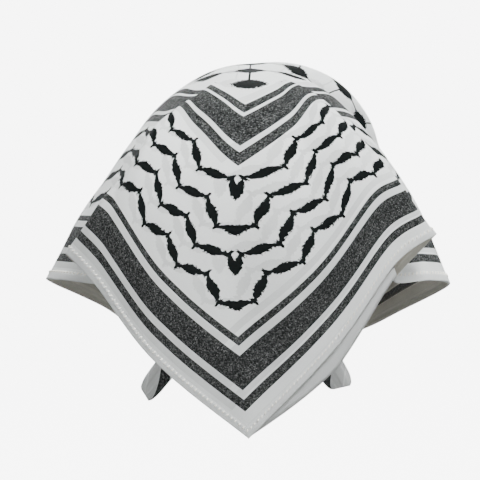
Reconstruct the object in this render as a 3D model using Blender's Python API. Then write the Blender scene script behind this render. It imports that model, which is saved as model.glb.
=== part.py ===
"""A keffiyeh bandana folded corner to corner and tied as a hood, hollow, as it is when it is worn.

The two free corners hang as a flap (-Y), the folded edge frames the face (+Y), and the long corners
come round the sides, are knotted under the chin and end in two tails. +Z is up, and the origin is on
the crown, where the cloth rests on the head. Sizes are in millimetres and become metres at the end.

The cloth is drawn as fall lines: each one runs from the crown to a point of the cloth's edge. A fall
line is a Bezier curve, and the table gives where its end lies on the flat cloth, across from the
diagonal and up from the flap's corner, then how far it runs level from the crown, its bend and its end.
"""

import math
from collections import namedtuple

import bmesh
import bpy
import numpy as np

MM = 0.001
CROWN_UP = 275.0  # how far up the diagonal the top of the crown lies on the flat cloth
CROWN_TOP = 2.0  # the outside of the crown; the double cloth fills the space down to the origin
CLOTH = 1.2  # wall of one layer of cloth
DOUBLE = 1.6  # wall of the folded, double cloth
SEAM = 0.6  # between solids that are one cloth on the real thing
CAP_SHARE = 0.26  # the crown's share of each fall line
LAYER_STEP = 1.8  # from the outside of the flap to the outside of the layer under it
UNDER_DROP = 0.028  # how much further than the flap the right half of the layer under it hangs, as a share

Fall = namedtuple("Fall", "name across up leave bend end")

FLAP_LEFT = [
    Fall("centre", 0, 0, 86, (-20, -118, -57), (-1, -105, -205)),
    Fall("quarter", 52, 52, 90, (-50, -118, -53), (-56, -104, -159)),
    Fall("curl", 98, 98, 94, (-72, -114, -45), (-93, -99, -111)),
    Fall("ridge", 115, 115, 92, (-73, -109, -43), (-114, -90, -95)),
]
FLAP_RIGHT = [
    Fall("centre", 0, 0, 86, (-20, -118, -57), (-1, -105, -205)),
    Fall("quarter", 54, 54, 90, (32, -118, -53), (50, -103, -151)),
    Fall("curl", 98, 98, 94, (66, -112, -43), (86, -94, -101)),
    Fall("ridge", 120, 120, 94, (77, -103, -39), (110, -80, -86)),
]
SIDE_LEFT = [
    Fall("ridge", 115, 115, 92, (-73, -109, -43), (-114, -90, -95)),
    Fall("turn", 120, 120, 82, (-74, -98, -45), (-110, -83, -100)),
    Fall("valley", 137, 137, 63, (-77, -76, -49), (-90, -80, -115)),
    Fall("near", 161, 161, 56, (-83, -46, -50), (-114, -58, -118)),
    Fall("tip", 188, 188, 54, (-85, -18, -48), (-124, -25, -126)),
    Fall("far", 236, 236, 58, (-98, 12, -59), (-94, 30, -154)),
    Fall("band", 275, 275, 62, (-110, 36, -77), (-67, 68, -180)),
    Fall("knot_hem", 319, 319, 80, (-112, 66, -143), (-14, 88, -201)),
    Fall("knot_fold", 319, 389, 76, (-108, 80, -128), (-14, 92, -188)),
    Fall("jaw", 225, 389, 65, (-100, 66, -88), (-60, 88, -159)),
    Fall("cheek", 158, 389, 52, (-84, 54, -48), (-85, 77, -113)),
    Fall("temple", 104, 389, 47, (-62, 54, -24), (-72, 83, -73)),
    Fall("brow_side", 50, 389, 50, (-30, 76, -16), (-40, 91, -45)),
    Fall("brow", 0, 389, 52, (6, 90, -16), (0, 96, -35)),
]
SIDE_RIGHT = [
    Fall("ridge", 120, 120, 94, (77, -103, -39), (110, -80, -86)),
    Fall("turn", 125, 125, 84, (78, -92, -41), (106, -74, -92)),
    Fall("valley", 143, 143, 66, (80, -72, -49), (87, -74, -115)),
    Fall("near", 167, 167, 60, (90, -44, -50), (109, -55, -119)),
    Fall("tip", 194, 194, 58, (94, -18, -49), (122, -25, -129)),
    Fall("far", 241, 241, 62, (105, 12, -60), (94, 30, -158)),
    Fall("band", 279, 279, 64, (113, 36, -78), (66, 68, -181)),
    Fall("knot_hem", 322, 322, 80, (112, 66, -143), (14, 88, -201)),
    Fall("knot_fold", 322, 389, 76, (108, 80, -128), (14, 92, -188)),
    Fall("jaw", 226, 389, 68, (104, 66, -88), (60, 88, -159)),
    Fall("cheek", 158, 389, 58, (96, 55, -40), (85, 77, -113)),
    Fall("temple", 104, 389, 53, (76, 58, -14), (72, 83, -73)),
    Fall("brow_side", 50, 389, 53, (40, 78, -7), (40, 91, -45)),
    Fall("brow", 0, 389, 52, (6, 90, -16), (0, 96, -35)),
]

# Rows of the walls: the steps between two fall lines of a table, and the steps down a line.
FLAP_STEPS = 5
SIDE_STEPS = 3
CAP_STEPS = 5
WALL_STEPS = 13

# A tail is a folded end of the cloth: its middle line, from the knot to its blunt tip, and its widths.
Tail = namedtuple("Tail", "name root elbow tip root_wide tip_wide")
TAILS = [
    Tail("tail_left", (-5, 99.6, -198), (-44, 101, -197), (-68, 92, -228), 22, 12),
    Tail("tail_right", (5, 98.6, -198), (44, 101, -196), (60, 92, -223), 25, 17),
]
TAIL_THICK = 3.4
TAIL_STEPS = 10
TAIL_SIDES = 12
TAIL_AHEAD = 0.01  # how far on along its middle line a ring looks for its direction
TAIL_START = 0.01  # where the tail leaves the knot, as a share of its middle line

Knot = namedtuple("Knot", "at wide deep tall lobes lobe_mm")
KNOT = Knot((0, 89, -196), 27.2, 18, 27, 3, 0.5)
KNOT_TOP = -178.0  # fall lines that end below this stop at the knot's side
KNOT_EDGE = 14.5
KNOT_RINGS = 12
KNOT_SIDES = 20

PAPER_WHITE = (0.80, 0.81, 0.79, 1.0)
SHARP_DEG = 40


def clear_scene():
    for item in list(bpy.data.objects):
        bpy.data.objects.remove(item)


def cloth_material(name):
    """A soft printed cotton: no gloss and no metal."""
    material = bpy.data.materials.new(name)
    material.use_nodes = True
    shader = material.node_tree.nodes["Principled BSDF"]
    shader.inputs["Base Color"].default_value = PAPER_WHITE
    shader.inputs["Roughness"].default_value = 0.9
    shader.inputs["Metallic"].default_value = 0.0
    return material


def catmull(rows, at):
    """A smooth value at a fractional row of a short table of vectors."""
    first = min(int(at), len(rows) - 2)
    part = at - first
    before, start = rows[max(first - 1, 0)], rows[first]
    end, after = rows[first + 1], rows[min(first + 2, len(rows) - 1)]
    return 0.5 * (
        2 * start
        + (end - before) * part
        + (2 * before - 5 * start + 4 * end - after) * part**2
        + (3 * start - before - 3 * end + after) * part**3
    )


def handles(fall, sign):
    """A fall line's four points. It leaves the crown in the direction that it has on the flat cloth."""
    across, down = fall.across, CROWN_UP - fall.up
    length = math.hypot(across, down)
    crown = np.array((0.0, 0.0, CROWN_TOP))
    leave = crown + fall.leave * np.array((sign * across / length, -down / length, 0.0))
    return np.array([crown, leave, fall.bend, fall.end], float)


def fall_lines(table, sign, steps):
    """The four points of every fall line between the table's rows, steps of them to a row."""
    rows = [handles(fall, sign).ravel() for fall in table]
    lines = [catmull(rows, i / steps).reshape(4, 3) for i in range((len(rows) - 1) * steps + 1)]
    for line in lines:
        if line[3][1] > 0 and line[3][2] < KNOT_TOP:
            line[3][0] = sign * max(abs(line[3][0]), KNOT_EDGE)
    return lines


def on_fall(points, share):
    """A place along a fall line, from 0 at the crown to 1 at the cloth's edge."""
    rest = 1 - share
    weights = (rest**3, 3 * rest**2 * share, 3 * rest * share**2, share**3)
    return sum(w * p for w, p in zip(weights, points, strict=True))


def hood(lines, reach=None):
    """Points of the cloth's outside, a row for each fall line, and the unit normals there.

    A line's reach is how far below the crown its end lies, as a share of the way to the table's end.
    """
    shares = [*np.linspace(0, CAP_SHARE, CAP_STEPS + 1)[1:-1], *np.linspace(CAP_SHARE, 1, WALL_STEPS + 1)]
    reach = np.ones(len(lines)) if reach is None else reach
    points = np.array(
        [[on_fall(line, s + (far - 1) * max(s - CAP_SHARE, 0)) for s in shares]
         for line, far in zip(lines, reach, strict=True)]
    )
    along_row = np.roll(points, -1, 0) - np.roll(points, 1, 0)
    along_line = np.gradient(points, axis=1)
    out = np.cross(along_line, along_row)
    return points, out / np.linalg.norm(out, axis=2, keepdims=True)


def cut_back(points, rows=(), columns=()):
    """Moves the named border rows and columns of a grid inward by the seam."""
    for row in rows:
        step = points[1 if row == 0 else row - 1] - points[row]
        points[row] += step * SEAM / np.linalg.norm(step, axis=1, keepdims=True)
    for column in columns:
        step = points[:, column + 1] - points[:, column]
        points[:, column] += step * SEAM / np.linalg.norm(step, axis=1, keepdims=True)


def mesh_object(name, vertices, faces):
    mesh = bpy.data.meshes.new(name)
    mesh.from_pydata([tuple(v * MM) for v in np.asarray(vertices, float)], [], faces)
    made = bmesh.new()
    made.from_mesh(mesh)
    bmesh.ops.recalc_face_normals(made, faces=made.faces)
    bmesh.ops.triangulate(made, faces=made.faces)
    made.to_mesh(mesh)
    made.free()
    mesh.materials.append(cloth_material(name))
    mesh.shade_smooth()
    mesh.set_sharp_from_angle(angle=math.radians(SHARP_DEG))
    item = bpy.data.objects.new(name, mesh)
    bpy.context.collection.objects.link(item)


def wall(name, outside, out, thick):
    """A closed wall of cloth: its outside, its inside a thickness below, and a rim round its edge."""
    rows, columns = outside.shape[:2]
    top = outside.reshape(-1, 3)
    under = (outside - thick * out).reshape(-1, 3)
    faces = []
    for i in range(rows - 1):
        for j in range(columns - 1):
            a, b = i * columns + j, i * columns + j + 1
            c, d = a + columns, b + columns
            faces += [(a, b, d, c), tuple(len(top) + k for k in (a, c, d, b))]
    edge = [(i, 0) for i in range(rows)] + [(rows - 1, j) for j in range(1, columns)]
    edge += [(i, columns - 1) for i in range(rows - 2, -1, -1)]
    edge += [(0, j) for j in range(columns - 2, 0, -1)]
    ring = [i * columns + j for i, j in edge]
    for a, b in zip(ring, ring[1:] + ring[:1], strict=True):
        faces.append((a, b, len(top) + b, len(top) + a))
    mesh_object(name, np.concatenate([top, under]), faces)


def crown(points, out):
    """The cap of double cloth on the head, all round, down to where the flap and the sides start."""
    points, out = points[:, :CAP_STEPS], out[:, :CAP_STEPS]
    rows, columns = points.shape[:2]
    top = np.concatenate([points.reshape(-1, 3), [[0, 0, CROWN_TOP]]])
    under = np.concatenate([(points - DOUBLE * out).reshape(-1, 3), [[0, 0, CROWN_TOP - DOUBLE]]])
    count = len(top)
    faces = []
    for i in range(rows):
        k = (i + 1) % rows
        faces += [(i * columns, k * columns, count - 1)]
        faces += [(count + k * columns, count + i * columns, 2 * count - 1)]
        for j in range(columns - 1):
            a, b, c, d = i * columns + j, i * columns + j + 1, k * columns + j, k * columns + j + 1
            faces += [(a, b, d, c), tuple(count + n for n in (a, c, d, b))]
        a, b = i * columns + columns - 1, k * columns + columns - 1
        faces.append((a, b, count + b, count + a))
    mesh_object("crown", np.concatenate([top, under]), faces)


def below_crown(points, out, rows):
    """A copy of some rows of the hood, from just below the crown down."""
    points, out = points[rows, CAP_STEPS - 1 :].copy(), out[rows, CAP_STEPS - 1 :]
    cut_back(points, columns=[0])
    return points, out


def under_flap(points, out):
    """The layer under the flap, a step inside it. It stops short of the ridges."""
    points, out = points[FLAP_STEPS:-FLAP_STEPS], out[FLAP_STEPS:-FLAP_STEPS]
    wall("flap_under", points - LAYER_STEP * out, out, CLOTH)


def side(name, points, out):
    """One side: the turn under the flap, the panel over the cheek, and its gathered end at the knot."""
    cut_back(points, rows=[0, len(points) - 1])
    wall(name, points, out, DOUBLE)


def tail(part):
    """A folded end: a flat tube with round edges along its middle line, closed at both ends."""
    line = np.array([part.root, part.elbow, part.elbow, part.tip], float)
    rings = []
    for i in range(TAIL_STEPS + 1):
        share = TAIL_START + (1 - TAIL_START) * i / TAIL_STEPS
        past = min(share + TAIL_AHEAD, 1)
        ahead = on_fall(line, past) - on_fall(line, past - 2 * TAIL_AHEAD)
        across = np.cross(ahead, (0, 1, 0))
        across /= np.linalg.norm(across)
        wide = part.root_wide + (part.tip_wide - part.root_wide) * share
        for k in range(TAIL_SIDES):
            turn = 2 * math.pi * k / TAIL_SIDES
            aside = across * math.cos(turn) * wide / 2 + np.array((0, 1, 0)) * math.sin(turn) * TAIL_THICK / 2
            rings.append(on_fall(line, share) + aside)
    mesh_object(part.name, rings, tube_faces(TAIL_STEPS + 1, TAIL_SIDES))


def tube_faces(rings, sides):
    faces = [tuple(range(sides)), tuple((rings - 1) * sides + k for k in range(sides))]
    for i in range(rings - 1):
        for k in range(sides):
            m = (k + 1) % sides
            faces.append((i * sides + k, i * sides + m, (i + 1) * sides + m, (i + 1) * sides + k))
    return faces


def knot():
    """The knot under the chin: a round lump of cloth with shallow lobes where its turns lie."""
    rings = []
    for i in range(1, KNOT_RINGS):
        down = math.pi * i / KNOT_RINGS
        for k in range(KNOT_SIDES):
            turn = 2 * math.pi * k / KNOT_SIDES
            lobe = KNOT.lobe_mm * math.cos(KNOT.lobes * down + turn) * math.sin(down)
            size = np.array((KNOT.wide / 2, KNOT.deep / 2 + lobe, KNOT.tall / 2 + lobe))
            way = np.array(
                (math.cos(down), math.sin(down) * math.cos(turn), math.sin(down) * math.sin(turn))
            )
            rings.append(np.array(KNOT.at) + size * way)
    mesh_object("knot", rings, tube_faces(KNOT_RINGS - 1, KNOT_SIDES))


def main():
    clear_scene()
    side_left = fall_lines(SIDE_LEFT, -1, SIDE_STEPS)[::-1]
    flap_left = fall_lines(FLAP_LEFT, -1, FLAP_STEPS)[::-1]
    flap_right = fall_lines(FLAP_RIGHT, 1, FLAP_STEPS)
    side_right = fall_lines(SIDE_RIGHT, 1, SIDE_STEPS)
    lines = side_left + flap_left[1:] + flap_right[1:] + side_right[1:-1]
    centre = len(side_left) + len(flap_left) - 2
    ridges = range(len(side_left) - 1, centre + len(flap_right))
    points, out = hood(lines)
    crown(points, out)
    wall("flap_outer", *below_crown(points, out, ridges), CLOTH)
    slip = UNDER_DROP * np.clip((np.arange(len(lines)) - centre) / FLAP_STEPS, 0, 1)
    under_flap(*below_crown(*hood(lines, 1 + slip), ridges))
    side("side_left", *below_crown(points, out, range(ridges[0] + 1)))
    side("side_right", *below_crown(points, out, [*range(ridges[-1], len(lines)), 0]))
    knot()
    for part in TAILS:
        tail(part)


main()
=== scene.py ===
import math
from collections import namedtuple

import bmesh
import bpy
import numpy as np
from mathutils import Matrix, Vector


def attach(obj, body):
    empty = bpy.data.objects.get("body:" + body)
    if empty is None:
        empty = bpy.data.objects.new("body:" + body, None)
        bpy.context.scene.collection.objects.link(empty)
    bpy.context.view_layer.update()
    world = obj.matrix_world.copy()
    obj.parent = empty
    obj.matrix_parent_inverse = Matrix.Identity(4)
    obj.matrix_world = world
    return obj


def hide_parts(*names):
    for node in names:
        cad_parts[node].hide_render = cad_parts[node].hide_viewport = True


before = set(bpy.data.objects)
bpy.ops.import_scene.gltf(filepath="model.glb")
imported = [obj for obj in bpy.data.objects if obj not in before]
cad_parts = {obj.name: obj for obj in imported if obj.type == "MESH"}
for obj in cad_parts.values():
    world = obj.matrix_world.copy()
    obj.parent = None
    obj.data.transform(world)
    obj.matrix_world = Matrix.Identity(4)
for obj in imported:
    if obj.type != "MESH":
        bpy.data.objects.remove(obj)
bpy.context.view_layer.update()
bpy.ops.object.select_all(action="DESELECT")
MM = 0.001

# The printed cotton. A white square with a plain border, three dark bands, four rows of leaves, a frame
# of three bands, and a net of lines with leaf-shaped knots in its middle. The dark yarns of the bands are
# mixed with white ones. It is worked out on the flat cloth, each piece's UV map, with lengths in mm.
SQUARE = 550.0
HALF_DIAGONAL = SQUARE / math.sqrt(2)
BANDS = [(12.4, 17.8), (22.1, 37.4), (41.8, 45.8), (120.0, 126.3), (129.4, 144.9), (147.2, 152.6)]
LEAF_ROWS = 4
FIRST_ROW = 59.3  # from the hem to the middle of the first row of leaves
ROW_PITCH = 16.3
LEAF_SPAN = 16.5  # along the row, from one point of the chain to the next
CHAIN_HIGH = 9.6
LEAF_BEND = 0.62
LEAF_THICK = (1.05, 2.0)  # half of the leaf's thickness at its points, and what its middle adds
LEAF_TAPER = 1.3
SPUR = 1.6  # the short thread ends where two leaves meet
SPUR_LONG = 0.8
JAG = 3.0  # how much the leaves' edges wander
SERRATED = 0.9  # and what single yarns add to that
DRIFT_SCALE = 0.75
YARN = 0.62
YARN_INK = (0.78, 0.22)  # how dark the palest yarn of a band is, and what the darkest adds
YARN_SPREAD = 0.25  # below 1, most yarns of a band are dark
NET_PITCH = HALF_DIAGONAL / 13.05
NET_LINE = 0.55
NET_LEAF = (10.5, 7.4)
NET_CORNER = 1.5  # the power that draws a net leaf's corners out, from 2 for an oval
NET_ROOT = 0.67
NET_JAG = 0.22
NET_START = 4.0  # from the last band to the first net leaf
NET_FROM = 174.0  # the net's lines start this far from the hem
INK = (0.002, 0.003, 0.003, 1)
COTTON = (0.85, 0.88, 0.87, 1)
HEM_DOUBLED = 6.2  # how wide the hem's cloth is doubled, and how much darker it is painted there: painted shade along the rolled hem
HEM_SHADE = -0.13
INNER = (0.80, 0.76, 0.68, 1)  # the cloth's underside, painted darker and warmer: painted shade where the inside lies in shade
GHOST = (0.32, 0.03)  # how much of the print beneath shows through, with the blotches and everywhere
BLOTCH = (38.0, 0.10, 0.93)  # scale, what the palest adds, and the dullest
SLUB = (900.0, 0.10, 0.95)
THREAD = 0.55  # from one thread of the weave to the next
RELIEF = {"weave": 0.35, "hem": -1.6, "ink": 0.5}
RELIEF_HIGH = 0.0003  # metres


class Graph:
    """A node tree that is written as sums: each call adds one node and returns its result."""

    def __init__(self, tree):
        self.tree = tree

    def node(self, kind, inputs=(), **settings):
        made = self.tree.nodes.new(kind)
        for name, value in settings.items():
            setattr(made, name, value)
        for name, value in dict(inputs).items():
            if isinstance(value, bpy.types.NodeSocket):
                self.tree.links.new(value, made.inputs[name])
            else:
                made.inputs[name].default_value = value
        return made

    def sum(self, operation, *values):
        return self.node("ShaderNodeMath", dict(enumerate(values)), operation=operation).outputs[0]

    def within(self, value, low, high):
        above = self.sum("GREATER_THAN", value, low)
        return self.sum("MULTIPLY", above, self.sum("LESS_THAN", value, high))

    def either(self, *masks):
        found = masks[0]
        for mask in masks[1:]:
            found = self.sum("MAXIMUM", found, mask)
        return found


def leaf_chain(g, near, far, jag):
    """The rows of leaves: a chain that goes to and fro across each row, thick between its points."""
    row = g.sum("ROUND", g.sum("DIVIDE", g.sum("SUBTRACT", near, FIRST_ROW), ROW_PITCH))
    row = g.sum("MINIMUM", g.sum("MAXIMUM", row, 0.0), LEAF_ROWS - 1.0)
    middle = g.sum("MULTIPLY_ADD", row, ROW_PITCH, FIRST_ROW)
    place = g.sum("MULTIPLY_ADD", g.sum("SUBTRACT", far, middle), 1 / LEAF_SPAN, 0.5)
    share = g.sum("PINGPONG", place, 1.0)
    bend = g.sum("MULTIPLY", g.sum("SINE", g.sum("MULTIPLY", share, 2 * math.pi)), LEAF_BEND / (2 * math.pi))
    rise = g.sum("SUBTRACT", 0.5, g.sum("ADD", share, bend))
    turn = g.sum("MULTIPLY_ADD", g.sum("MODULO", row, 2.0), -2.0, 1.0)
    centre = g.sum("MULTIPLY", g.sum("MULTIPLY", rise, CHAIN_HIGH), turn)
    off = g.sum("ABSOLUTE", g.sum("SUBTRACT", g.sum("SUBTRACT", near, middle), centre))
    belly = g.sum("SINE", g.sum("MULTIPLY", share, math.pi))
    belly = g.sum("POWER", g.sum("MAXIMUM", belly, 0.0), LEAF_TAPER)
    thick = g.sum("MULTIPLY_ADD", belly, LEAF_THICK[1], LEAF_THICK[0])
    point = g.sum("MULTIPLY", g.sum("MINIMUM", share, g.sum("SUBTRACT", 1.0, share)), LEAF_SPAN)
    spur = g.sum("MULTIPLY", g.sum("LESS_THAN", point, SPUR_LONG), SPUR)
    thick = g.sum("ADD", g.sum("ADD", thick, spur), jag)
    rows = g.within(near, FIRST_ROW - ROW_PITCH / 2, FIRST_ROW + (LEAF_ROWS - 0.5) * ROW_PITCH)
    return g.sum("MULTIPLY", rows, g.sum("LESS_THAN", off, thick))


def net(g, across, up, near, jag):
    """The middle of the cloth: a net of fine lines, with a leaf where they cross."""
    far = [g.sum("PINGPONG", value, NET_PITCH / 2) for value in (across, up)]
    lines = g.either(*(g.sum("LESS_THAN", value, NET_LINE) for value in far))
    parts = [g.sum("DIVIDE", value, size) for value, size in zip(far, NET_LEAF, strict=True)]
    drawn = g.sum("ADD", *(g.sum("POWER", value, NET_CORNER) for value in parts))
    leaf = g.sum("LESS_THAN", g.sum("POWER", drawn, NET_ROOT), g.sum("MULTIPLY_ADD", jag, NET_JAG, 1.0))
    lines = g.sum("MULTIPLY", g.sum("GREATER_THAN", near, NET_FROM), lines)
    return g.sum("MULTIPLY", g.sum("GREATER_THAN", near, BANDS[-1][1] + NET_START), g.either(lines, leaf))


def print_group():
    """Reads a place on the flat cloth and gives how dark the print is there, from 0 to 1."""
    tree = bpy.data.node_groups.new("keffiyeh_print", "ShaderNodeTree")
    tree.interface.new_socket("Flat", in_out="INPUT", socket_type="NodeSocketVector")
    tree.interface.new_socket("Ink", in_out="OUTPUT", socket_type="NodeSocketFloat")
    tree.interface.new_socket("Near", in_out="OUTPUT", socket_type="NodeSocketFloat")
    g = Graph(tree)
    flat = g.node("NodeGroupInput").outputs[0]
    whole = g.node("ShaderNodeVectorMath", {0: flat, 3: SQUARE}, operation="SCALE").outputs[0]
    stepped = g.node("ShaderNodeVectorMath", {0: whole, 1: (YARN,) * 3}, operation="SNAP").outputs[0]
    yarn = g.node("ShaderNodeTexWhiteNoise", {"Vector": stepped}, noise_dimensions="2D").outputs[0]
    serrated = g.sum("MULTIPLY", g.sum("SUBTRACT", yarn, 0.5), SERRATED)
    yarn = g.sum("MULTIPLY_ADD", g.sum("POWER", yarn, YARN_SPREAD), YARN_INK[1], YARN_INK[0])
    drift = g.node("ShaderNodeTexNoise", {"Vector": whole, "Scale": DRIFT_SCALE, "Detail": 2.0}).outputs[0]
    jag = g.sum("MULTIPLY_ADD", g.sum("SUBTRACT", drift, 0.5), JAG, serrated)
    sides = g.node("ShaderNodeSeparateXYZ", {0: whole})
    a, b = sides.outputs[0], sides.outputs[1]
    folded = [g.sum("MINIMUM", value, g.sum("SUBTRACT", SQUARE, value)) for value in (a, b)]
    near, far = g.sum("MINIMUM", *folded), g.sum("MAXIMUM", *folded)
    across = g.sum("MULTIPLY", g.sum("SUBTRACT", a, b), math.sqrt(0.5))
    up = g.sum("MULTIPLY", g.sum("ADD", a, b), math.sqrt(0.5))
    up = g.sum("ABSOLUTE", g.sum("SUBTRACT", up, HALF_DIAGONAL))
    bands = g.either(*(g.within(near, low, high) for low, high in BANDS))
    mixed = g.sum("MULTIPLY", bands, yarn)
    leaves = g.either(leaf_chain(g, near, far, jag), net(g, g.sum("ABSOLUTE", across), up, near, jag))
    out = g.node("NodeGroupOutput")
    tree.links.new(g.either(mixed, leaves), out.inputs["Ink"])
    tree.links.new(near, out.inputs["Near"])
    return tree


def printed_cotton(name, ghost, shade=1.0):
    """Matt cotton with its print, and the print of the layer beneath showing faintly through. A shade below 1
    paints the cotton darker, painted shade for a piece that lies in shade.
    """
    material = bpy.data.materials.new(name)
    material.use_nodes = True
    g = Graph(material.node_tree)
    shader = material.node_tree.nodes["Principled BSDF"]
    flat = g.node("ShaderNodeUVMap", uv_map="flat_cloth").outputs[0]
    top = g.node("ShaderNodeGroup", {}, node_tree=PRINT)
    material.node_tree.links.new(flat, top.inputs[0])
    slipped = g.node("ShaderNodeVectorMath", {0: flat, 1: ghost}, operation="ADD").outputs[0]
    below = g.node("ShaderNodeGroup", {}, node_tree=PRINT)
    material.node_tree.links.new(slipped, below.inputs[0])
    place = g.node("ShaderNodeTexCoord").outputs["Object"]
    blotch = g.node("ShaderNodeTexNoise", {"Vector": place, "Scale": BLOTCH[0], "Detail": 3.0}).outputs[0]
    slub = g.node("ShaderNodeTexNoise", {"Vector": place, "Scale": SLUB[0], "Detail": 2.0}).outputs[0]
    seen = g.sum("MULTIPLY", below.outputs[0], g.sum("MULTIPLY_ADD", blotch, *GHOST))
    light = g.sum("MULTIPLY_ADD", blotch, *BLOTCH[1:])
    light = g.sum("MULTIPLY", light, g.sum("MULTIPLY_ADD", slub, *SLUB[1:]))
    light = g.sum("MULTIPLY", light, g.sum("SUBTRACT", 1.0, seen))
    # Painted shade: the cotton is painted darker along the rolled hem, within HEM_DOUBLED of the edge.
    hem_painted_shade = g.sum("MULTIPLY_ADD", g.sum("LESS_THAN", top.outputs[1], HEM_DOUBLED), HEM_SHADE, 1.0)
    light = g.sum("MULTIPLY", light, hem_painted_shade)
    # Painted shade: the cotton's colour is darkened by the shade factor.
    cotton = [value * shade for value in COTTON[:3]] + [1]
    cloth = g.node("ShaderNodeMix", {"Factor": 1.0, 6: cotton}, data_type="RGBA", blend_type="MULTIPLY")
    grey = g.node("ShaderNodeCombineColor", {0: light, 1: light, 2: light}).outputs[0]
    material.node_tree.links.new(grey, cloth.inputs[7])
    base = g.node("ShaderNodeMix", {0: top.outputs[0], 6: cloth.outputs[2], 7: INK}, data_type="RGBA")
    # Painted shade: the inside faces of the thickened cloth are multiplied by INNER, darker and warmer.
    inner = g.node("ShaderNodeUVMap", uv_map="inner_face").outputs[0]
    inner = g.node("ShaderNodeSeparateXYZ", {0: inner}).outputs[0]
    inner_painted_shade = g.node("ShaderNodeMix", {0: inner, 6: base.outputs[2], 7: INNER}, data_type="RGBA",
                  blend_type="MULTIPLY")
    material.node_tree.links.new(inner_painted_shade.outputs[2], shader.inputs["Base Color"])
    yarn = g.node("ShaderNodeVectorMath", {0: flat, 3: SQUARE / THREAD}, operation="SCALE").outputs[0]
    crossed = [
        g.node("ShaderNodeTexWave", {"Vector": yarn, "Scale": 1.0}, bands_direction=way).outputs[1]
        for way in ("X", "Y")
    ]
    hem = g.sum("MULTIPLY", g.sum("GREATER_THAN", top.outputs[1], HEM_DOUBLED), RELIEF["hem"])
    relief = g.sum("ADD", g.sum("MULTIPLY", g.sum("ADD", *crossed), RELIEF["weave"]), g.sum("ADD", slub, hem))
    relief = g.sum("ADD", relief, g.sum("MULTIPLY", top.outputs[0], RELIEF["ink"]))
    bump = g.node("ShaderNodeBump", {"Height": relief, "Strength": 0.35, "Distance": RELIEF_HIGH})
    material.node_tree.links.new(bump.outputs[0], shader.inputs["Normal"])
    shader.inputs["Roughness"].default_value = 0.88
    shader.inputs["Specular IOR Level"].default_value = 0.04
    return material


PRINT = print_group()

# The hood. It is the outer layer of the folded cloth and, off the flap, the layer under it too, which
# lie as one. It hangs from the crown in fall lines: the flap behind, a soft fold at each of its edges,
# the sides that come forward over the cheeks to the knot, and the folded edge round the face.
CROWN_UP = 275.0
CROWN_TOP = 2.0
DOUBLE = 1.5  # the folded cloth's thickness
LINE_STEPS = 10
DOWN_STEPS = 96
Fall = namedtuple("Fall", "name across up leave bend end")
# Across and up are a line's end on the flat cloth, leave is how far it runs level from the crown, bend is
# the third place of its curve and end its last.
FALLS = [
    Fall("brow", 0, 389, 52, (15, 90, -15), (0, 96, -35)),
    Fall("brow_side", 50, 389, 50, (-23, 76, -19), (-40, 91, -45)),
    Fall("temple", 104, 389, 47, (-58, 54, -27), (-72, 83, -73)),
    Fall("cheek", 158, 389, 52, (-84, 54, -48), (-85, 77, -113)),
    Fall("jaw", 225, 389, 65, (-100, 66, -88), (-60, 88, -159)),
    Fall("knot_fold", 319, 389, 76, (-108, 80, -128), (-14, 92, -188)),
    Fall("knot_hem", 319, 319, 80, (-112, 66, -143), (-14, 88, -201)),
    Fall("band", 275, 275, 62, (-110, 36, -77), (-67, 68, -180)),
    Fall("far", 236, 236, 58, (-98, 12, -59), (-94, 30, -154)),
    Fall("tip", 188, 188, 54, (-85, -18, -48), (-124, -25, -126)),
    Fall("near", 161, 161, 56, (-83, -46, -50), (-114, -58, -118)),
    Fall("valley", 137, 137, 63, (-77, -76, -49), (-90, -80, -115)),
    Fall("turn", 120, 120, 82, (-74, -98, -45), (-107, -83, -100)),
    Fall("ridge", 115, 115, 92, (-73, -109, -43), (-110, -90, -95)),
    Fall("curl", 98, 98, 94, (-72, -114, -45), (-93, -99, -111)),
    Fall("quarter", 52, 52, 90, (-50, -118, -53), (-56, -104, -159)),
    Fall("centre", 0, 0, 86, (-20, -118, -57), (-1, -105, -205)),
    Fall("quarter", -54, 54, 90, (32, -118, -53), (50, -103, -151)),
    Fall("curl", -98, 98, 94, (66, -112, -43), (86, -94, -101)),
    Fall("ridge", -120, 120, 94, (77, -103, -39), (110, -80, -86)),
    Fall("turn", -125, 125, 84, (78, -92, -41), (106, -74, -92)),
    Fall("valley", -143, 143, 66, (80, -72, -49), (87, -74, -115)),
    Fall("near", -167, 167, 60, (90, -44, -50), (109, -55, -119)),
    Fall("tip", -194, 194, 58, (94, -18, -49), (122, -25, -129)),
    Fall("far", -241, 241, 62, (105, 12, -60), (94, 30, -158)),
    Fall("band", -279, 279, 64, (113, 36, -78), (66, 68, -181)),
    Fall("knot_hem", -322, 322, 80, (112, 66, -143), (14, 88, -201)),
    Fall("knot_fold", -322, 389, 76, (108, 80, -128), (14, 92, -188)),
    Fall("jaw", -226, 389, 68, (104, 66, -88), (60, 88, -159)),
    Fall("cheek", -158, 389, 58, (96, 55, -40), (85, 77, -113)),
    Fall("temple", -104, 389, 53, (79, 58, -10), (72, 83, -73)),
    Fall("brow_side", -50, 389, 53, (47, 78, -4), (40, 91, -45)),
]
HEM_WIDE = 5.6  # the rolled hem stands out this wide, over a soft step, and this high
HEM_SOFT = 1.4
HEM_HIGH = 0.5
HEM_SHARE = 0.955  # from here down the rows are closer, for the rolled hem
HEM_STEPS = 14
KNOT_TOP = -178.0
KNOT_EDGE = 14.5  # below the knot's top no line ends nearer to the middle than this, the knot's side
Crease = namedtuple("Crease", "start end wide deep")
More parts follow.
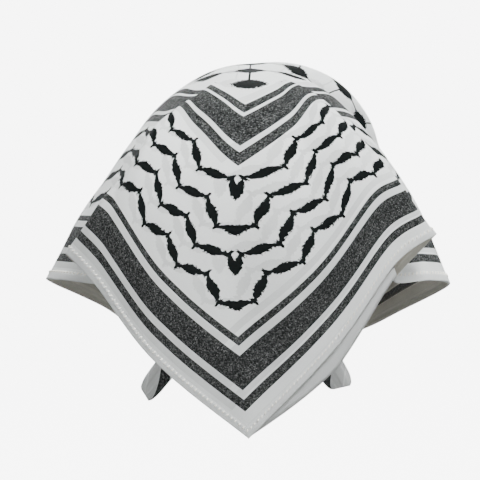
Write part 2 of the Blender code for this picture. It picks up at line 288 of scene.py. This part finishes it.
# Soft troughs and ridges, as places on the flat cloth: left of the diagonal, and up from the corner.
CREASES = [
    Crease((34, 240), (22, 120), 8, -1.9),
    Crease((50, 238), (66, 150), 6, 1.5),
    Crease((64, 226), (90, 120), 5, -1.5),
    Crease((14, 215), (58, 80), 10, 1.3),
    Crease((-18, 238), (-42, 130), 8, -2.0),
    Crease((-34, 236), (-66, 140), 6, 1.5),
    Crease((-52, 232), (-90, 128), 6, -1.7),
    Crease((-70, 226), (-104, 138), 5, 1.3),
    Crease((-6, 190), (-30, 66), 11, 1.4),
    Crease((4, 120), (-12, 30), 9, -1.2),
    Crease((78, 205), (100, 128), 5, 1.2),
    Crease((30, 110), (44, 62), 8, -1.1),
    Crease((-60, 110), (-34, 52), 9, -1.3),
    Crease((110, 262), (150, 190), 7, 1.6),
    Crease((134, 270), (184, 214), 7, -1.8),
    Crease((-110, 262), (-156, 194), 7, 1.6),
    Crease((-134, 270), (-190, 220), 7, -1.8),
    Crease((120, 330), (240, 300), 8, 1.8),
    Crease((110, 352), (260, 340), 7, -1.8),
    Crease((-120, 330), (-240, 300), 8, 1.8),
    Crease((-110, 352), (-260, 340), 7, -1.8),
    Crease((60, 330), (170, 372), 8, 1.2),
    Crease((-60, 330), (-170, 372), 8, 1.2),
]
CREASE_FADE = 300  # past a crease's ends, in square mm
CREASE_SWELL = (0.15, 0.7)  # the part of a half wave that a crease follows: its start and its length
UNEVEN_HIGH = 0.45
UNEVEN = [(17, 1.3, 41), (23, 0.8, 37)]  # a wave's length, how much it sways, and the sway's own length


def bezier(points, share):
    rest = 1 - share
    weights = (rest**3, 3 * rest**2 * share, 3 * rest * share**2, share**3)
    return sum(w[..., None] * p for w, p in zip(weights, points, strict=True))


def fall_rows():
    """Each row is the five places of a table line: four of its curve and its end on the flat cloth."""
    rows = []
    for fall in FALLS:
        down = CROWN_UP - fall.up
        length = math.hypot(fall.across, down)
        leave = fall.leave * np.array((-fall.across / length, -down / length, 0.0))
        crown = np.array((0.0, 0.0, CROWN_TOP))
        rows.append([crown, crown + leave, fall.bend, fall.end, (fall.across, fall.up, 0)])
    return np.array(rows, float)


def between(rows, at):
    """A smooth value at a fractional row of a closed table. The flap's corner at the centre stays sharp."""
    first, part = int(at), at - int(at)
    before, start, end, after = (rows[(first + k) % len(rows)].copy() for k in (-1, 0, 1, 2))
    if FALLS[first].name == "centre":
        before[3:] = 2 * start[3:] - end[3:]
    if FALLS[(first + 1) % len(rows)].name == "centre":
        after[3:] = 2 * end[3:] - start[3:]
    return 0.5 * (
        2 * start
        + (end - before) * part
        + (2 * before - 5 * start + 4 * end - after) * part**2
        + (3 * start - before - 3 * end + after) * part**3
    )


def hood_grid(first, last, shares, reach=None):
    """Places and flat places of the cloth's outside, a row for each fall line from first to last.

    A reach gives how far a line's end hangs past the table's, as a share of the line.
    """
    rows, places, flats = fall_rows(), [], []
    fine = np.linspace(0, 1, 200)
    for i in range(round((last - first) * LINE_STEPS) + 1):
        line = between(rows, first + i / LINE_STEPS)
        if line[3][1] > 0 and line[3][2] < KNOT_TOP:
            line[3][0] = math.copysign(max(abs(line[3][0]), KNOT_EDGE), line[3][0])
        steps = np.linalg.norm(np.diff(bezier(line[:4], fine), axis=0), axis=1)
        run = np.concatenate([[0], np.cumsum(steps)])
        past = 1 + (reach(first + i / LINE_STEPS) if reach else 0) * shares
        places.append(bezier(line[:4], np.interp(shares, run / run[-1], fine) * past))
        end = np.array((line[4][0], min(line[4][1], HALF_DIAGONAL)))
        start = np.array((0.0, CROWN_UP))
        flats.append(start + (end - start) * (shares * past)[:, None])
    return np.array(places), np.array(flats)


def outward(places, closed):
    along_row = np.roll(places, -1, 0) - np.roll(places, 1, 0) if closed else np.gradient(places, axis=0)
    found = np.cross(np.gradient(places, axis=1), along_row)
    return found / np.maximum(np.linalg.norm(found, axis=2, keepdims=True), 1e-9)


def wave(along, aside, length, sway, slow):
    return np.sin(along / length + sway * np.sin(aside / slow))


def crease(places, flats, out):
    """Presses the table's troughs and ridges into the cloth, and a slight unevenness all over."""
    depth = np.zeros(flats.shape[:2])
    for fold in CREASES:
        start, end = np.array(fold.start, float), np.array(fold.end, float)
        length = np.linalg.norm(end - start)
        along = (end - start) / length
        past = (flats - start) @ along
        aside = (flats - start) @ np.array((-along[1], along[0]))
        run = np.clip(past / length, 0, 1)
        fade = np.exp(-((past - run * length) ** 2) / CREASE_FADE)
        swell = np.sin(math.pi * (CREASE_SWELL[0] + CREASE_SWELL[1] * run))
        depth += fold.deep * np.exp(-((aside / fold.wide) ** 2)) * fade * swell
    x, y = flats[..., 0], flats[..., 1]
    depth += UNEVEN_HIGH * wave(x, y, *UNEVEN[0]) * wave(y, x, *UNEVEN[1])
    a, b = (y + x) / math.sqrt(2), (y - x) / math.sqrt(2)
    near = np.minimum(np.minimum(a, b), SQUARE - np.maximum(a, b))
    depth += HEM_HIGH * np.clip((HEM_WIDE - near) / HEM_SOFT, 0, 1)
    return places + depth[..., None] * out


def flat_uv(across, up):
    """The UV place of a place on the flat cloth, across from its diagonal and up from its corner."""
    return ((up + across) / math.sqrt(2) / SQUARE, (up - across) / math.sqrt(2) / SQUARE)


def cloth_object(name, places, flats, closed, apex):
    """A single-layer mesh of a grid of places in millimetres, with the flat cloth as its UV map."""
    rows, columns = places.shape[:2]
    vertices = [tuple(p * MM) for p in places.reshape(-1, 3)]
    ends = [tuple(f) for f in flats.reshape(-1, 2)]
    faces = []
    for i in range(rows if closed else rows - 1):
        k = (i + 1) % rows
        for j in range(columns - 1):
            faces.append((i * columns + j, i * columns + j + 1, k * columns + j + 1, k * columns + j))
        if apex:
            faces.append((rows * columns, i * columns, k * columns))
    if apex:
        vertices.append((0, 0, CROWN_TOP * MM))
        ends.append((0.0, CROWN_UP))
    mesh = bpy.data.meshes.new(name)
    mesh.from_pydata(vertices, [], faces)
    layer = mesh.uv_layers.new(name="flat_cloth")
    for loop in mesh.loops:
        layer.data[loop.index].uv = flat_uv(*ends[loop.vertex_index])
    mesh.shade_smooth()
    item = bpy.data.objects.new(name, mesh)
    bpy.context.collection.objects.link(item)
    return item


def thicken(item, thick):
    """Gives a sheet its thickness, inward from its outside, with a closed and slightly rounded rim."""
    outer = len(item.data.polygons)
    wall = item.modifiers.new("wall", "SOLIDIFY")
    wall.thickness = thick * MM
    wall.offset = -1
    bpy.context.view_layer.objects.active = item
    item.select_set(True)
    bpy.ops.object.modifier_apply(modifier="wall")
    layer = item.data.uv_layers.new(name="inner_face")
    for face in item.data.polygons:
        for loop in face.loop_indices:
            layer.data[loop].uv = (float(outer <= face.index < 2 * outer), 0)
    item.data.uv_layers.active = item.data.uv_layers["flat_cloth"]
    bpy.ops.object.select_all(action="DESELECT")


shares = np.linspace(0, HEM_SHARE, DOWN_STEPS)[2:]
shares = np.concatenate([shares, np.linspace(HEM_SHARE, 1, HEM_STEPS)[1:]])
hood_places, flats = hood_grid(0, len(FALLS) - 1 / LINE_STEPS, shares)
hood_places = crease(hood_places, flats, outward(hood_places, True))
hood = cloth_object("hood", hood_places, flats, closed=True, apex=True)
thicken(hood, DOUBLE)
hood.data.materials.append(printed_cotton("hood_cotton", (-0.012, 0.008, 0)))
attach(hood, "root")
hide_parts("crown", "flap_outer", "side_left", "side_right")

# The layer under the flap. It is the square's other free corner, the same cloth and print, which has
# slipped a few millimetres to the right, so that a strip of it shows along the flap's right hem.
SLIP = 0.042
LAYER_STEP = 1.9  # from the hood's outside to this layer's
LAYER = 0.7
UNDER_SHARES = (0.2, 1, 70)  # from below the crown to the hem, and how many rows
CENTRE = [fall.name for fall in FALLS].index("centre")


def slipped(at):
    return SLIP * min(max(at - CENTRE, 0), 1)


places, flats = hood_grid(CENTRE - 2, CENTRE + 2, np.linspace(*UNDER_SHARES), slipped)
out = outward(places, False)
places = crease(places, flats, out) - LAYER_STEP * out
flap_under = cloth_object("under_flap", places, flats, closed=False, apex=False)
thicken(flap_under, LAYER)
# Painted shade: this layer's cotton is painted darker, for the flap's shadow over it.
flap_under.data.materials.append(printed_cotton("under_cotton", (0.01, -0.01, 0), shade=0.8))
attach(flap_under, "root")
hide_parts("flap_under")

# The whip stitches. A white thread holds the rolled hem: each stitch lies aslant across it, in sight on
# the flap's two edges and on the sides' edges as far as the knot.
STITCH_PITCH = 3.1
STITCH_LONG = 2.6
STITCH_RADIUS = 0.4
STITCH_IN = 5.0  # from the cloth's edge to a stitch's middle
STITCH_LIFT = 0.2
STITCH_SLANT = 0.75
STITCH_SIDES = 6
# Where a stitch's rings lie: along it, above the cloth in radii, and how thick it is there.
STITCH_RINGS = [(-0.5, -1.6, 0.5), (-0.3, 0, 1), (0, 0.5, 1.1), (0.3, 0, 1), (0.5, -1.6, 0.5)]
bands = [i for i, fall in enumerate(FALLS) if fall.name == "band"]
in_sight = slice(bands[0] * LINE_STEPS, bands[1] * LINE_STEPS + 1)
thread = bpy.data.materials.new("hem_thread")
thread.use_nodes = True
cotton_thread = thread.node_tree.nodes["Principled BSDF"]
cotton_thread.inputs["Base Color"].default_value = (0.88, 0.85, 0.77, 1)
cotton_thread.inputs["Roughness"].default_value = 0.8


def stitch_mesh(places, out):
    """Stitches along a grid's last column, the cloth's edge: thin bent rods that dip at both ends."""
    edge = places[:, -1]
    inward = places[:, -HEM_STEPS] - edge
    inward /= np.linalg.norm(inward, axis=1, keepdims=True)
    run = np.concatenate([[0], np.cumsum(np.linalg.norm(np.diff(edge, axis=0), axis=1))])
    at = np.arange(STITCH_PITCH / 2, run[-1], STITCH_PITCH)
    parts = (edge, inward, out[:, -1], np.gradient(edge, run, axis=0))
    picked = [np.stack([np.interp(at, run, part[:, k]) for k in range(3)], axis=1) for part in parts]
    vertices, faces = [], []
    for spot, way, up, on in zip(*picked, strict=True):
        slant = way + STITCH_SLANT * on
        slant /= np.linalg.norm(slant)
        aside = np.cross(slant, up)
        first = len(vertices)
        for along, high, size in STITCH_RINGS:
            centre = spot + way * STITCH_IN + slant * along * STITCH_LONG
            centre = centre + up * (STITCH_LIFT + high * STITCH_RADIUS)
            for k in range(STITCH_SIDES):
                turn = 2 * math.pi * k / STITCH_SIDES
                round_it = aside * math.cos(turn) + up * math.sin(turn)
                vertices.append(centre + STITCH_RADIUS * size * round_it)
        rings = [range(i, i + STITCH_SIDES) for i in range(first, len(vertices), STITCH_SIDES)]
        for low, high in zip(rings, rings[1:]):
            for k in range(STITCH_SIDES):
                m = (k + 1) % STITCH_SIDES
                faces.append((low[k], low[m], high[m], high[k]))
        faces += [tuple(rings[0]), tuple(rings[-1])]
    return vertices, faces


def close_up(mesh):
    """Fills a mesh's open ends and turns its faces outward."""
    made = bmesh.new()
    made.from_mesh(mesh)
    bmesh.ops.holes_fill(made, edges=[e for e in made.edges if e.is_boundary], sides=0)
    bmesh.ops.recalc_face_normals(made, faces=made.faces)
    made.to_mesh(mesh)
    made.free()
    mesh.shade_smooth()


vertices, faces = stitch_mesh(hood_places[in_sight], outward(hood_places, True)[in_sight])
mesh = bpy.data.meshes.new("hem_stitches")
mesh.from_pydata([tuple(v * MM) for v in vertices], [], faces)
close_up(mesh)
stitches = bpy.data.objects.new("hem_stitches", mesh)
bpy.context.collection.objects.link(stitches)
stitches.data.materials.append(thread)
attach(stitches, "root")

# The tails. Each is a long corner of the square, folded on itself a few times into a soft flat strip
# that comes out of the knot and ends bluntly at the corner. The bands of the print cross it aslant.
Tail = namedtuple("Tail", "node root elbow tip root_wide tip_wide side")
TAILS = [
    Tail("tail_left", (-5, 99.6, -198), (-44, 101, -197), (-68, 92, -228), 22, 14, 1),
    Tail("tail_right", (5, 98.6, -198), (44, 101, -196), (60, 92, -223), 25, 18, -1),
]
TAIL_THICK = 3.4
TAIL_ROWS = 80
TAIL_ROUND = 96
TAIL_PRINT = (2.5, 32.0)  # from the hem at the tip, and what is added on the way to the knot
TAIL_ASLANT = 5.0
TAIL_ALONG = (300.0, 80.0)  # along the hem from the knot, and what is added on the way to the tip
TAIL_GATHER = 0.3  # the share of the tail that the knot draws in, and its pleats there
TAIL_PLEAT = 0.3
TAIL_FACES = 0.55  # below 1, the strip's faces are flatter than a tube's
TAIL_RELIEF = (0.2, 0.35)  # left of the half width and the half thickness for the folds' relief
TAIL_WAVE = 0.8
TIP_ROUND = 0.10
TIP_SLANT = 1.6
FOLD_STEPS = (-0.42, 0.18, 0.66)  # where the folded layers end across the strip, from -1 to 1
FOLD_WANDER = 0.14
FOLD_HIGH = 0.36
FOLD_SOFT = 0.05
LIP_AT = 0.07  # the rolled lip beside a layer's end, and how wide it is
LIP_WIDE = 0.09


def folded_height(aside, shares):
    """How far the layers of the folded strip stand out, in steps across it that wander along it."""
    high = np.zeros_like(shares)
    for k, step in enumerate(FOLD_STEPS):
        edge = step + FOLD_WANDER * np.sin(3.1 * shares + 2.1 * k) * (1 - 0.4 * shares)
        past = np.clip((aside - edge) / FOLD_SOFT, -1, 1)
        lip = np.exp(-((aside - edge - LIP_AT) / LIP_WIDE) ** 2)
        high += FOLD_HIGH * (0.5 * past + 0.35 * lip) * (-1) ** k
    return high


def tail_mesh(part):
    """A flat tube whose faces show the ends of the layers within it, and whose tip is cut nearly square."""
    line = np.array([part.root, part.elbow, part.elbow, part.tip], float)
    shares = np.linspace(0, 1, TAIL_ROWS)
    middle = bezier(line, shares)
    ahead = np.gradient(middle, axis=0)
    ahead /= np.linalg.norm(ahead, axis=1, keepdims=True)
    back = np.array((0.0, 1.0, 0.0)) - ahead * ahead[:, 1:2]
    back /= np.linalg.norm(back, axis=1, keepdims=True)
    across = np.cross(ahead, back)
    gather = np.clip(1 - shares / TAIL_GATHER, 0, 1)
    close = np.sqrt(1 - np.clip(1 - (1 - shares) / TIP_ROUND, 0, 1) ** 2)
    wide = (part.root_wide + (part.tip_wide - part.root_wide) * shares) / 2 - TAIL_RELIEF[0]
    wide = wide * (1 - 0.25 * gather**2) * (0.6 + 0.4 * close)
    thick = (TAIL_THICK / 2 - TAIL_RELIEF[1]) * (0.5 + 0.5 * close)
    along = TAIL_ALONG[0] + TAIL_ALONG[1] * shares
    places, flats = [], []
    for k in range(TAIL_ROUND):
        turn = 2 * math.pi * k / TAIL_ROUND
        aside, lift = math.cos(turn), math.sin(turn)
        square = math.copysign(abs(lift) ** TAIL_FACES, lift)
        pleat = TAIL_PLEAT * gather * np.cos(4 * math.pi * aside)
        height = square * (thick + pleat) + abs(square) * folded_height(aside, shares)
        height += TAIL_WAVE * np.sin(4.2 * shares + 1.2 * aside) * shares
        slant = ahead * (TIP_SLANT * aside * shares**6)[:, None]
        places.append(middle + across * (aside * wide)[:, None] + back * height[:, None] + slant)
        near = TAIL_PRINT[0] + TAIL_PRINT[1] * (1 - shares) + TAIL_ASLANT * (1 + part.side * aside)
        flats.append(np.stack([part.side * (along - near), along + near], axis=1) / math.sqrt(2))
    return np.array(places), np.array(flats)


for part in TAILS:
    places, flats = tail_mesh(part)
    tail = cloth_object(part.node + "_cloth", places, flats, closed=True, apex=False)
    close_up(tail.data)
    # Painted shade: the tail's cotton is painted slightly darker than the hood's.
    tail.data.materials.append(printed_cotton(part.node + "_cotton", (0.01, 0.01, 0), shade=0.95))
    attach(tail, "root")
    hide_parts(part.node)

# The knot under the chin. The two ends are crossed and drawn tight: the turns are soft rolls that run
# aslant, with deep creases between them and fine folds drawn into them, and one pleated turn lies over
# the tails' roots in front.
KNOT_AT = (0, 89, -196)
KNOT_SIZE = (27.2, 18, 27)
KNOT_SLANT = 0.55
KNOT_FULL = 1.08
KNOT_SQUARED = -0.2  # below 0, the knot's two sides are drawn out to where the cloth runs in
KNOT_BELLY = (0.86, 0.12, 0.025)  # between the turns, what a turn adds, and what a fine fold adds
KNOT_WAIST = 0.9
KNOT_FLAT = (326, 372)  # its middle on the flat cloth
TURN_PITCH = 0.62  # between the middles of two turns, with the knot's half height as 1
TURN_ROUND = 0.45  # the lower, the fuller a turn and the sharper its creases
TURN_AT = 0.35
FINE_FOLDS = 2.6  # to each turn
OVER_WIDE = 0.52  # half of the turn that lies over the tails' roots, as a share of the knot's half width
OVER_HIGH = 6.5
OVER_PLEAT = 0.55
OVER_PLEATS = 6.5
bpy.ops.mesh.primitive_uv_sphere_add(segments=128, ring_count=96, radius=1)
knot = bpy.context.object
knot.name = "knot_cloth"
for vertex in knot.data.vertices:
    place = np.array(vertex.co)
    slant = KNOT_SLANT if place[1] > 0 else -KNOT_SLANT
    aslant = (place[2] + slant * place[0] * (1 - 0.5 * place[2] ** 2)) / TURN_PITCH
    roll = abs(math.cos(math.pi * aslant / 2 + TURN_AT)) ** TURN_ROUND
    fold = math.cos(2 * math.pi * (FINE_FOLDS * aslant + 0.5 * place[0] ** 2)) * (1 - abs(place[0]) ** 2)
    belly = KNOT_BELLY[0] + KNOT_BELLY[1] * roll + KNOT_BELLY[2] * fold
    waist = np.array((1.0, 1.0, KNOT_WAIST + (1 - KNOT_WAIST) * abs(place[0])))
    spot = place * belly * waist * np.array(KNOT_SIZE) / 2
    spot[0] *= KNOT_FULL * abs(place[0]) ** KNOT_SQUARED if place[0] else 1
    over = math.exp(-((place[0] / OVER_WIDE) ** 6)) * max(place[1], 0) ** 0.5
    pleat = (place[0] + 0.12 * place[2] ** 2) / (1 + 0.5 * abs(place[2]))
    pleat = math.cos(OVER_PLEATS * math.pi * pleat)
    spot[1] += over * (OVER_HIGH + OVER_PLEAT * pleat)
    vertex.co = Vector((spot + np.array(KNOT_AT)) * MM)
layer = knot.data.uv_layers.active
layer.name = "flat_cloth"
for loop in knot.data.loops:
    spot = knot.data.vertices[loop.vertex_index].co / MM
    above = spot[2] - KNOT_AT[2]
    across = KNOT_FLAT[0] + 0.4 * (spot[0] + above)
    layer.data[loop.index].uv = flat_uv(across, KNOT_FLAT[1] - 0.9 * above + 0.6 * spot[0])
knot.data.shade_smooth()
# Painted shade: the knot's cotton is painted slightly darker than the hood's.
knot.data.materials.append(printed_cotton("knot_cotton", (0.01, 0.01, 0), shade=0.95))
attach(knot, "root")
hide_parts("knot")
bpy.ops.object.select_all(action="DESELECT")

# The stage: a pale floor well below and a pale round wall far off, so that every side is seen against
# white, soft light from above and from all round, and a long lens.
FLOOR_Z = -0.62
FLOOR_SIZE = 30
WALL_FAR = 14
WALL_HIGH = 12
WALL_SIDES = 64
STAGE_GLOW = 7.0
WORLD_LOW = 0.25  # the sky's light from below, and what it adds upward from a little under the horizon
WORLD_LIGHT = 0.5
WORLD_UNDER = 0.35
pale = bpy.data.materials.new("pale_stage")
pale.use_nodes = True
paint = pale.node_tree.nodes["Principled BSDF"]
paint.inputs["Base Color"].default_value = (0.2, 0.2, 0.2, 1)
paint.inputs["Roughness"].default_value = 0.95
paint.inputs["Emission Color"].default_value = (1, 1, 1, 1)
paint.inputs["Emission Strength"].default_value = STAGE_GLOW
bpy.ops.mesh.primitive_plane_add(size=FLOOR_SIZE, location=(0, 0, FLOOR_Z))
floor = bpy.context.object
floor.name = "floor"
bpy.ops.mesh.primitive_cylinder_add(
    vertices=WALL_SIDES, radius=WALL_FAR, depth=WALL_HIGH, end_fill_type="NOTHING",
    location=(0, 0, FLOOR_Z + WALL_HIGH / 2),
)
round_wall = bpy.context.object
round_wall.name = "round_wall"
for part in (floor, round_wall):
    part.data.materials.append(pale)
    part.visible_diffuse = False
    part.visible_shadow = False
world = bpy.data.worlds.new("studio")
bpy.context.scene.world = world
world.use_nodes = True
g = Graph(world.node_tree)
height = g.node("ShaderNodeSeparateXYZ", {0: g.node("ShaderNodeTexCoord").outputs["Generated"]}).outputs[2]
raised = g.sum("MAXIMUM", g.sum("ADD", height, WORLD_UNDER), 0.0)
sky = g.sum("MULTIPLY_ADD", raised, WORLD_LIGHT, WORLD_LOW)
world.node_tree.links.new(sky, world.node_tree.nodes["Background"].inputs[1])

Lamp = namedtuple("Lamp", "name at size power")
LAMPS = [
    Lamp("key", (0.5, -0.95, 1.35), 0.5, 56),
    Lamp("fill", (1.3, -0.8, 0.35), 1.0, 9),
    Lamp("side", (-1.35, -0.5, 0.5), 1.0, 8),
    Lamp("top", (0.1, 0.45, 1.3), 0.8, 22),
    Lamp("low", (0.0, -1.2, -0.75), 1.2, 6),
    Lamp("front", (-0.4, 1.4, 0.35), 0.8, 26),
]
MIDDLE = Vector((0, 0, -0.11))
for lamp in LAMPS:
    light = bpy.data.lights.new(lamp.name, "AREA")
    light.size = lamp.size
    light.energy = lamp.power
    item = bpy.data.objects.new(lamp.name, light)
    item.location = lamp.at
    item.rotation_euler = (MIDDLE - Vector(lamp.at)).to_track_quat("-Z", "Y").to_euler()
    bpy.context.collection.objects.link(item)

AIM = Vector((-0.0062, 0, -0.1056))
ELEVATION = math.radians(12)
PIXEL = 0.00062  # metres at the hood to a pixel of the frame
LENS = 300
FRAME_PIXELS = 480
camera = bpy.data.cameras.new("camera")
camera.lens = LENS
away = PIXEL * FRAME_PIXELS * LENS / camera.sensor_width
back = Vector((0, -math.cos(ELEVATION), math.sin(ELEVATION)))
seat = bpy.data.objects.new("camera", camera)
seat.location = AIM + back * away
seat.rotation_euler = (-back).to_track_quat("-Z", "Y").to_euler()
camera.clip_end = 100
bpy.context.collection.objects.link(seat)
bpy.context.scene.camera = seat
